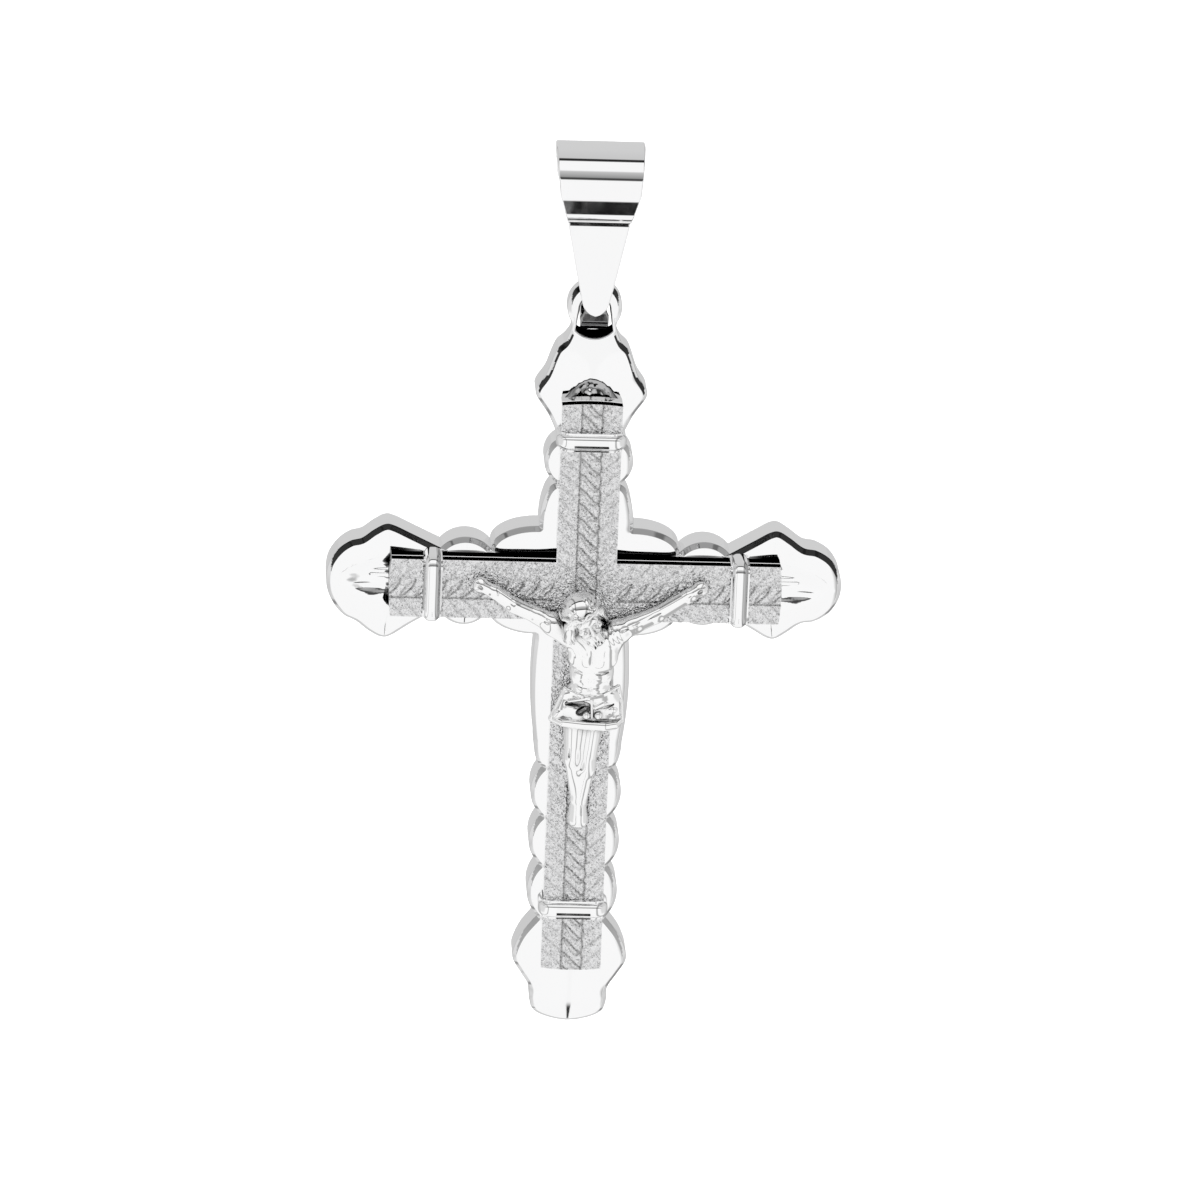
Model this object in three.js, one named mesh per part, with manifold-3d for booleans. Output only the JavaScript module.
// Crucifix pendant: a scalloped cross with an eye, a stack of two cross plates held by four
// straps and rivets, a small cast figure on three pegs, and a tapered strip bail through the eye.
// Millimetres, +Z up, the front faces -Y. The origin is where the chain runs through the bail.
import * as THREE from 'three';
import { mergeVertices } from 'three/addons/utils/BufferGeometryUtils.js';
import Module from 'manifold-3d';

const wasm = await Module();
wasm.setup();

// ---- driving dimensions ---------------------------------------------------------------------
const CROSSING_DROP = 36;        // chain centre down to the middle of the crossing
const GAP = 0.04;                // air left between pieces that touch

const BODY_FRONT = 1.35;         // heights are measured towards the front, from the eye's mid-plane
const BODY_BACK = -2.5;
const UNDER_PLATE_THICK = 1.27;
const GRAIN_PLATE_THICK = 1.0;
const UNDER_PLATE_BACK = BODY_FRONT + GAP;
const GRAIN_PLATE_BACK = UNDER_PLATE_BACK + UNDER_PLATE_THICK + GAP;
const GRAIN_PLATE_FRONT = GRAIN_PLATE_BACK + GRAIN_PLATE_THICK;

const BAR_HALF = 2.65;           // plates: half the bar's width
const ARM_REACH = 17.2;          // plates: crossing to the ends of the three short bars
const FOOT_REACH = 35.4;         // plates: crossing to the end of the long bar
const END_CROWN = 0.16;          // how far a bar's end bows out

const EYE_HEIGHT = 25.1;         // above the crossing
const EYE_OUTER = 2.4;
const EYE_HALF_THICK = 1.05;
const EYE_ROOT = 22;             // the ring runs down into the body to here
const EYE_ROOT_HALF = 2.3;
const EYE_HOLE_TOP = 1.32;       // radius of the hole's round top
const EYE_HOLE_FOOT = 1.62;      // half width at the hole's foot
const EYE_HOLE_FLOOR = 22.4;
const EYE_HOLE_KNEE = 23.1;      // where the hole is widest
const NECK_TOP = 22.7;           // full body thickness ends here

const BAIL_RADIUS = 3.8;         // outside of the round top
const BAIL_STRIP = 0.75;
const BAIL_TUCK = 45;            // degrees below the chain where the legs leave the round top
const BEND_RADIUS = 2.25;        // outside of the bend in the eye
const BEND_HEIGHT = -10.9;       // centre of that bend

const STRAP_WIDTH = 1.6;
const STRAP_WALL = 0.4;
const STRAP_PROUD = 0.9;
const STRAP_CORNER = 1.3;
const STRAP_ARM = 13.45;         // from the crossing
const STRAP_TOP = 13.8;
const STRAP_FOOT = -29.6;

const RIVET_RADIUS = 0.6;
const PEG_RADIUS = 0.4;
const PIN_CLEARANCE = 0.03;
const RIVET_DEPTH = 1.6;         // into the body
const ROUND_STEPS = 12;

// ---- materials ------------------------------------------------------------------------------
const steel = (roughness, shade) =>
  new THREE.MeshStandardMaterial({ color: shade, metalness: 1, roughness });
const POLISHED = steel(0.06, 0xe9e9ea);
const GRAIN = steel(0.42, 0xbfc0c2);

// ---- solids ---------------------------------------------------------------------------------
function solid(geometry) {
  const bare = geometry.index ? geometry.clone() : geometry;
  bare.deleteAttribute('normal');
  bare.deleteAttribute('uv');
  const merged = mergeVertices(bare, 1e-5);
  return new wasm.Manifold(new wasm.Mesh({
    numProp: 3,
    vertProperties: new Float32Array(merged.attributes.position.array),
    triVerts: new Uint32Array(merged.index.array),
  }));
}

function surface(manifold) {
  const mesh = manifold.getMesh();
  const geometry = new THREE.BufferGeometry();
  geometry.setAttribute('position', new THREE.BufferAttribute(mesh.vertProperties, 3));
  geometry.setIndex(new THREE.BufferAttribute(mesh.triVerts, 1));
  geometry.computeVertexNormals();
  return geometry;
}

function node(name, geometry, material) {
  const mesh = new THREE.Mesh(geometry, material);
  mesh.name = name;
  return mesh;
}

const union = (pieces) => pieces.reduce((all, piece) => all.add(piece));

// An outline in X and Z, made thick from one height to another towards the front.
function slab(points, back, front) {
  const shape = new THREE.Shape(points.map(([x, z]) => new THREE.Vector2(x, z)));
  const geometry = new THREE.ExtrudeGeometry(shape, { depth: front - back, bevelEnabled: false });
  geometry.rotateX(Math.PI / 2);
  geometry.translate(0, -back, 0);
  return solid(geometry);
}

// A round pin along the front direction.
function pin(x, z, radius, back, front) {
  const geometry = new THREE.CylinderGeometry(radius, radius, front - back, ROUND_STEPS);
  geometry.translate(x, -(back + front) / 2, z);
  return solid(geometry);
}

// ---- outlines -------------------------------------------------------------------------------
// A round arc from a to b that passes through the point between them.
function arc(a, through, b, steps = 6) {
  const [ax, ay] = a;
  const [bx, by] = through;
  const [cx, cy] = b;
  const d = 2 * (ax * (by - cy) + bx * (cy - ay) + cx * (ay - by));
  const [a2, b2, c2] = [a, through, b].map(([x, y]) => x * x + y * y);
  const ox = (a2 * (by - cy) + b2 * (cy - ay) + c2 * (ay - by)) / d;
  const oy = (a2 * (cx - bx) + b2 * (ax - cx) + c2 * (bx - ax)) / d;
  const radius = Math.hypot(ax - ox, ay - oy);
  const start = Math.atan2(ay - oy, ax - ox);
  const wrap = (angle) => (angle + 4 * Math.PI) % (2 * Math.PI);
  const turn = wrap(Math.atan2(cy - oy, cx - ox) - start);
  const reach = wrap(Math.atan2(by - oy, bx - ox) - start);
  const sweep = reach < turn ? turn : turn - 2 * Math.PI;
  return Array.from({ length: steps }, (_, i) => {
    const angle = start + (sweep * i) / steps;
    return [ox + radius * Math.cos(angle), oy + radius * Math.sin(angle)];
  });
}

// A quarter of an ellipse from a to b, level with its axis at a and upright at b, or the reverse.
function quarter(a, b, levelFirst, steps = 5) {
  return Array.from({ length: steps }, (_, i) => {
    const t = ((Math.PI / 2) * i) / steps;
    const [s, c] = [Math.sin(t), 1 - Math.cos(t)];
    const [u, v] = levelFirst ? [s, c] : [c, s];
    return [a[0] + (b[0] - a[0]) * u, a[1] + (b[1] - a[1]) * v];
  });
}

// A smooth run through the given points, without the last one.
function flow(points, steps) {
  const curve = new THREE.SplineCurve(points.map(([x, z]) => new THREE.Vector2(x, z)));
  return curve.getPoints(steps).slice(0, -1).map((p) => [p.x, p.y]);
}

// The budded end of a bar: along is the way out of the crossing, half is half the width.
const ARM_END = [[12.7, 2.8], [14.9, 4.1], [16.2, 4.85], [17.0, 4.95], [18.0, 4.35], [19.2, 3.5],
  [20.4, 3.25], [21.6, 2.5], [22.4, 1.3], [22.65, 0]];
// The cast's left bud is a little longer, and fuller below.
const LEFT_END_ABOVE = [[12.7, 2.8], [15.2, 4.0], [16.8, 4.75], [17.6, 4.85], [18.6, 4.3], [19.6, 3.55],
  [20.6, 3.25], [21.6, 2.5], [22.4, 1.3], [22.65, 0]];
const LEFT_END_BELOW = [[12.7, 2.8], [15.0, 4.2], [16.8, 5.4], [17.7, 5.55], [18.8, 5.0], [19.9, 4.15],
  [21.0, 3.6], [21.9, 2.6], [22.5, 1.3], [22.65, 0]];
const SCALLOP = 3.85;            // crest of the small scallops on the arms
const SCALLOP_LEFT_BELOW = 4.25;
const FOOT_END = [[31.4, 3.05], [33.0, 4.3], [34.6, 5.0], [35.6, 5.0], [36.8, 4.3], [38.1, 3.5],
  [39.2, 3.45], [40.35, 3.05], [41.0, 1.8], [41.3, 0]];
const HEAD_END = [[13.1, 2.7], [15.2, 3.65], [16.9, 4.75], [17.7, 4.8], [19.0, 4.0], [20.4, 3.5],
  [21.3, 3.1], [22.0, 2.45], [NECK_TOP, 2.15]];

// One half of the body's outline, from the neck down to the lowest point.
function bodyHalf(endAbove, endBelow, scallopBelow) {
  const swap = ([along, half]) => [half, along];
  const headEnd = flow(HEAD_END.map(swap).reverse(), 20);
  const armEdge = (end, crest) => [
    ...quarter([4.15, 5.0], [8.3, 2.85], true),
    ...arc([8.3, 2.85], [10.5, crest], [12.7, 2.8]),
    ...flow(end, 22),
  ];
  const upperArm = armEdge(endAbove, SCALLOP);
  const lowerArm = armEdge(endBelow, scallopBelow).map(([x, z]) => [x, -z]).reverse();
  const lowerScallops = [[17.3, 21.9], [21.9, 26.5], [26.5, 31.4]].flatMap(([from, to]) =>
    arc([3.05, -from], [4.02, -(from + to) / 2], [3.05, -to]));
  return [
    ...headEnd,
    ...arc([2.7, 13.1], [3.9, 11.1], [2.7, 9.0]),
    ...quarter([2.7, 9.0], [4.15, 5.0], true),
    ...upperArm,
    endAbove.at(-1),
    ...lowerArm.slice(0, -1),
    [4.15, -5.0],
    ...arc([4.15, -5.4], [4.3, -10.4], [3.9, -14.8]),
    ...quarter([3.9, -14.8], [3.05, -17.3], false),
    ...lowerScallops,
    ...flow(FOOT_END.map(([along, half]) => [half, -along]), 22),
    [0, -FOOT_END.at(-1)[0]],
  ];
}

// Closes a right-hand half with the mirror image of a left-hand one.
function closed(right, left) {
  return [...right, ...left.slice(0, -1).map(([x, z]) => [-x, z]).reverse()];
}

function plateOutline() {
  const end = (reach) => arc([-BAR_HALF, reach], [0, reach + END_CROWN], [BAR_HALF, reach], 6);
  const corner = [BAR_HALF, BAR_HALF];
  const turned = (points, quarters) => points.map(([x, z]) => {
    const [c, s] = [[1, 0], [0, -1], [-1, 0], [0, 1]][quarters];
    return [c * x - s * z, s * x + c * z];
  });
  return [ARM_REACH, ARM_REACH, FOOT_REACH, ARM_REACH].flatMap((reach, quarters) =>
    turned([...end(reach - END_CROWN), [BAR_HALF, reach - END_CROWN], corner], quarters));
}

// ---- pieces ---------------------------------------------------------------------------------
const RIVETS = { top: [0, STRAP_TOP], left: [-STRAP_ARM, 0], right: [STRAP_ARM, 0], foot: [0, STRAP_FOOT] };
const PEGS = { hand_peg_left: [-8.9, 0.45], hand_peg_right: [9.3, 0.45], feet_peg: [0.1, -20.7] };
const PEG_BACK = UNDER_PLATE_BACK + 0.1;
const PEG_FRONT = GRAIN_PLATE_FRONT + 0.35;

const holes = (places, radius, back, front) =>
  union(Object.values(places).map(([x, z]) => pin(x, z, radius + PIN_CLEARANCE, back, front)));

function eyeHole() {
  const top = EYE_HEIGHT - 0.12;
  const outline = [
    ...arc([EYE_HOLE_TOP, top], [0, top + EYE_HOLE_TOP], [-EYE_HOLE_TOP, top], 14),
    [-EYE_HOLE_TOP, top],
    ...arc([-EYE_HOLE_FOOT, EYE_HOLE_KNEE], [0, EYE_HOLE_FLOOR], [EYE_HOLE_FOOT, EYE_HOLE_KNEE], 12),
    [EYE_HOLE_FOOT, EYE_HOLE_KNEE],
  ];
  return slab(outline, BODY_BACK - 1, BODY_FRONT + 1);
}

function crossBody() {
  const right = bodyHalf(ARM_END, ARM_END, SCALLOP);
  const left = bodyHalf(LEFT_END_ABOVE, LEFT_END_BELOW, SCALLOP_LEFT_BELOW);
  const core = slab(closed(right, left), BODY_BACK, BODY_FRONT);
  const ringOutline = [
    ...arc([EYE_OUTER, EYE_HEIGHT], [0, EYE_HEIGHT + EYE_OUTER], [-EYE_OUTER, EYE_HEIGHT], 16),
    [-EYE_OUTER, EYE_HEIGHT],
    [-EYE_ROOT_HALF, EYE_ROOT],
    [EYE_ROOT_HALF, EYE_ROOT],
  ];
  const ring = slab(ringOutline, -EYE_HALF_THICK, EYE_HALF_THICK);
  const rivetHoles = holes(RIVETS, RIVET_RADIUS, BODY_FRONT - RIVET_DEPTH - GAP, BODY_FRONT + 1);
  return surface(core.add(ring).subtract(eyeHole()).subtract(rivetHoles));
}

function plate(back, thick) {
  const rivetHoles = holes(RIVETS, RIVET_RADIUS, back - 1, back + thick + 1);
  const pegHoles = holes(PEGS, PEG_RADIUS, back - 1, back + thick + 1);
  return surface(slab(plateOutline(), back, back + thick).subtract(rivetHoles).subtract(pegHoles));
}

// A strap's section across its bar: half is half the outside width, heights go up to the face.
function strapSection() {
  const half = BAR_HALF + GAP + STRAP_WALL;
  const base = UNDER_PLATE_BACK;
  const face = GRAIN_PLATE_FRONT + STRAP_PROUD;
  const inner = BAR_HALF + GAP;
  const shape = new THREE.Shape();
  shape.moveTo(half, base);
  shape.lineTo(half, face - STRAP_CORNER);
  shape.absarc(half - STRAP_CORNER, face - STRAP_CORNER, STRAP_CORNER, 0, Math.PI / 2, false);
  shape.absarc(STRAP_CORNER - half, face - STRAP_CORNER, STRAP_CORNER, Math.PI / 2, Math.PI, false);
  shape.lineTo(-half, base);
  shape.lineTo(-inner, base);
  shape.lineTo(-inner, GRAIN_PLATE_FRONT + GAP);
  shape.lineTo(inner, GRAIN_PLATE_FRONT + GAP);
  shape.lineTo(inner, base);
  return shape;
}

function strap(across, along, place) {
  const geometry = new THREE.ExtrudeGeometry(strapSection(),
    { depth: STRAP_WIDTH, bevelEnabled: false, curveSegments: 5 });
  geometry.translate(0, 0, -STRAP_WIDTH / 2);
  const toFront = new THREE.Vector3(0, -1, 0);
  geometry.applyMatrix4(new THREE.Matrix4().makeBasis(across, toFront, along));
  geometry.translate(place[0], 0, place[1]);
  return geometry;
}

// The bail's side view is one closed strip; its front view gives the taper, from the top down.
const BAIL_TAPER = [[1.2, -14], [1.2, -11.6], [0.95, -10.9], [1.55, -8.7], [2.68, -3], [3.5, 0],
  [3.85, 3.8], [3.85, 4.5]];
const BAIL_BLANK = 10;           // uncut width of the strip

function bailLoop(radius, bend) {
  const tuck = THREE.MathUtils.degToRad(BAIL_TUCK);
  const path = new THREE.Path();
  path.absarc(0, 0, radius, -tuck, Math.PI + tuck, false);
  path.absarc(0, BEND_HEIGHT, bend, Math.PI, 2 * Math.PI, false);
  return path.getPoints(18);
}

function bail() {
  const shape = new THREE.Shape(bailLoop(BAIL_RADIUS, BEND_RADIUS));
  shape.holes.push(new THREE.Path(bailLoop(BAIL_RADIUS - BAIL_STRIP, BEND_RADIUS - BAIL_STRIP)));
  const geometry = new THREE.ExtrudeGeometry(shape, { depth: BAIL_BLANK, bevelEnabled: false });
  geometry.translate(0, 0, -BAIL_BLANK / 2);
  const [x, y, z] = [[1, 0, 0], [0, 1, 0], [0, 0, 1]].map((v) => new THREE.Vector3(...v));
  geometry.applyMatrix4(new THREE.Matrix4().makeBasis(y, z, x));
  const front = slab(closed(BAIL_TAPER, BAIL_TAPER), -BAIL_BLANK / 2, BAIL_BLANK / 2);
  return surface(solid(geometry).intersect(front));
}

// ---- figure ---------------------------------------------------------------------------------
function blob(centre, radii, lean = 0) {
  const geometry = new THREE.SphereGeometry(1, 10, 6);
  geometry.scale(...radii);
  geometry.rotateY(THREE.MathUtils.degToRad(lean));
  geometry.translate(...centre);
  return solid(geometry);
}

// A tapering limb with a round joint at each end.
function limb(from, to, radiusFrom, radiusTo) {
  const [a, b] = [new THREE.Vector3(...from), new THREE.Vector3(...to)];
  const geometry = new THREE.CylinderGeometry(radiusTo, radiusFrom, a.distanceTo(b), 8);
  const turn = new THREE.Quaternion().setFromUnitVectors(
    new THREE.Vector3(0, 1, 0), b.clone().sub(a).normalize());
  geometry.applyQuaternion(turn);
  geometry.translate(...a.add(b).multiplyScalar(0.5).toArray());
  const ball = (centre, radius) => blob(centre, [radius, radius, radius]);
  return union([solid(geometry), ball(from, radiusFrom), ball(to, radiusTo)]);
}

// Limbs: one end and the other as [x, height over the plate, z], then the radius at each.
const LIMBS = [
  [[-9.2, 0.55, 0.55], [-6.6, 0.75, -0.75], 0.5, 0.62],
  [[-6.6, 0.75, -0.75], [-3.0, 1.2, -2.5], 0.62, 0.85],
  [[9.6, 0.55, 0.55], [6.4, 0.75, -1.5], 0.5, 0.62],
  [[6.4, 0.75, -1.5], [3.0, 1.2, -3.1], 0.62, 0.85],
  [[-0.35, 1.3, -11.2], [0.0, 1.5, -16.0], 1.25, 0.85],
  [[1.0, 1.3, -11.2], [0.75, 1.8, -16.4], 1.25, 0.85],
  [[0.0, 1.5, -16.0], [-0.1, 0.9, -20.0], 0.85, 0.5],
  [[0.75, 1.8, -16.4], [0.35, 1.2, -20.2], 0.85, 0.5],
  [[0.1, 1.0, -19.8], [0.15, 0.8, -21.3], 0.7, 0.55],
];
// Trunk, hips and head: centre, half sizes in x, y and z, and the lean in degrees.
const MASSES = [
  [[0.55, 1.3, -4.4], [2.5, 1.5, 1.7], 0],
  [[0.8, 1.2, -6.4], [1.9, 1.4, 2.4], 0],
  [[0.8, 1.2, -8.8], [2.5, 1.5, 1.5], 0],
  [[0.6, 1.3, -10.4], [2.9, 1.6, 1.9], 0],
  [[0.15, 2.1, -1.9], [1.75, 1.7, 2.3], -28],
  [[-0.7, 1.6, -1.9], [2.0, 1.5, 2.0], -20],
];
const FIGURE_CUT = 40;           // side of the block that trims the figure's flat back

function corpus() {
  const rest = -(GRAIN_PLATE_FRONT + GAP);
  const over = ([x, height, z]) => [x, rest - height, z];
  const limbs = LIMBS.map(([a, b, atA, atB]) => limb(over(a), over(b), atA, atB));
  const masses = MASSES.map(([centre, radii, lean]) => blob(over(centre), radii, lean));
  const bulk = union([...limbs, ...masses]);
  const behind = new THREE.BoxGeometry(FIGURE_CUT, FIGURE_CUT, FIGURE_CUT);
  behind.translate(0, rest + FIGURE_CUT / 2, 0);
  const pegHoles = holes(PEGS, PEG_RADIUS, GRAIN_PLATE_FRONT - 1, PEG_FRONT + GAP);
  return surface(bulk.subtract(solid(behind)).subtract(pegHoles));
}

// ---- assembly -------------------------------------------------------------------------------
const [alongX, alongZ] = [new THREE.Vector3(1, 0, 0), new THREE.Vector3(0, 0, 1)];
const STRAPS = {
  strap_top: [alongX, alongZ.clone().negate(), RIVETS.top],
  strap_left: [alongZ, alongX, RIVETS.left],
  strap_right: [alongZ, alongX, RIVETS.right],
  strap_foot: [alongX, alongZ.clone().negate(), RIVETS.foot],
};

const cross = new THREE.Group();
cross.position.set(0, 0, -CROSSING_DROP);
cross.add(node('cross_body', crossBody(), POLISHED));
cross.add(node('under_plate', plate(UNDER_PLATE_BACK, UNDER_PLATE_THICK), POLISHED));
cross.add(node('grain_plate', plate(GRAIN_PLATE_BACK, GRAIN_PLATE_THICK), GRAIN));
for (const [name, [across, along, place]] of Object.entries(STRAPS)) {
  cross.add(node(name, strap(across, along, place), POLISHED));
}
for (const [name, [x, z]] of Object.entries(RIVETS)) {
  const rivet = pin(x, z, RIVET_RADIUS, BODY_FRONT - RIVET_DEPTH, GRAIN_PLATE_FRONT);
  cross.add(node(`rivet_${name}`, surface(rivet), POLISHED));
}
for (const [name, [x, z]] of Object.entries(PEGS)) {
  cross.add(node(name, surface(pin(x, z, PEG_RADIUS, PEG_BACK, PEG_FRONT)), POLISHED));
}
cross.add(node('corpus', corpus(), POLISHED));

const pendant = new THREE.Group();
pendant.add(node('bail', bail(), POLISHED));
pendant.add(cross);

export default pendant;
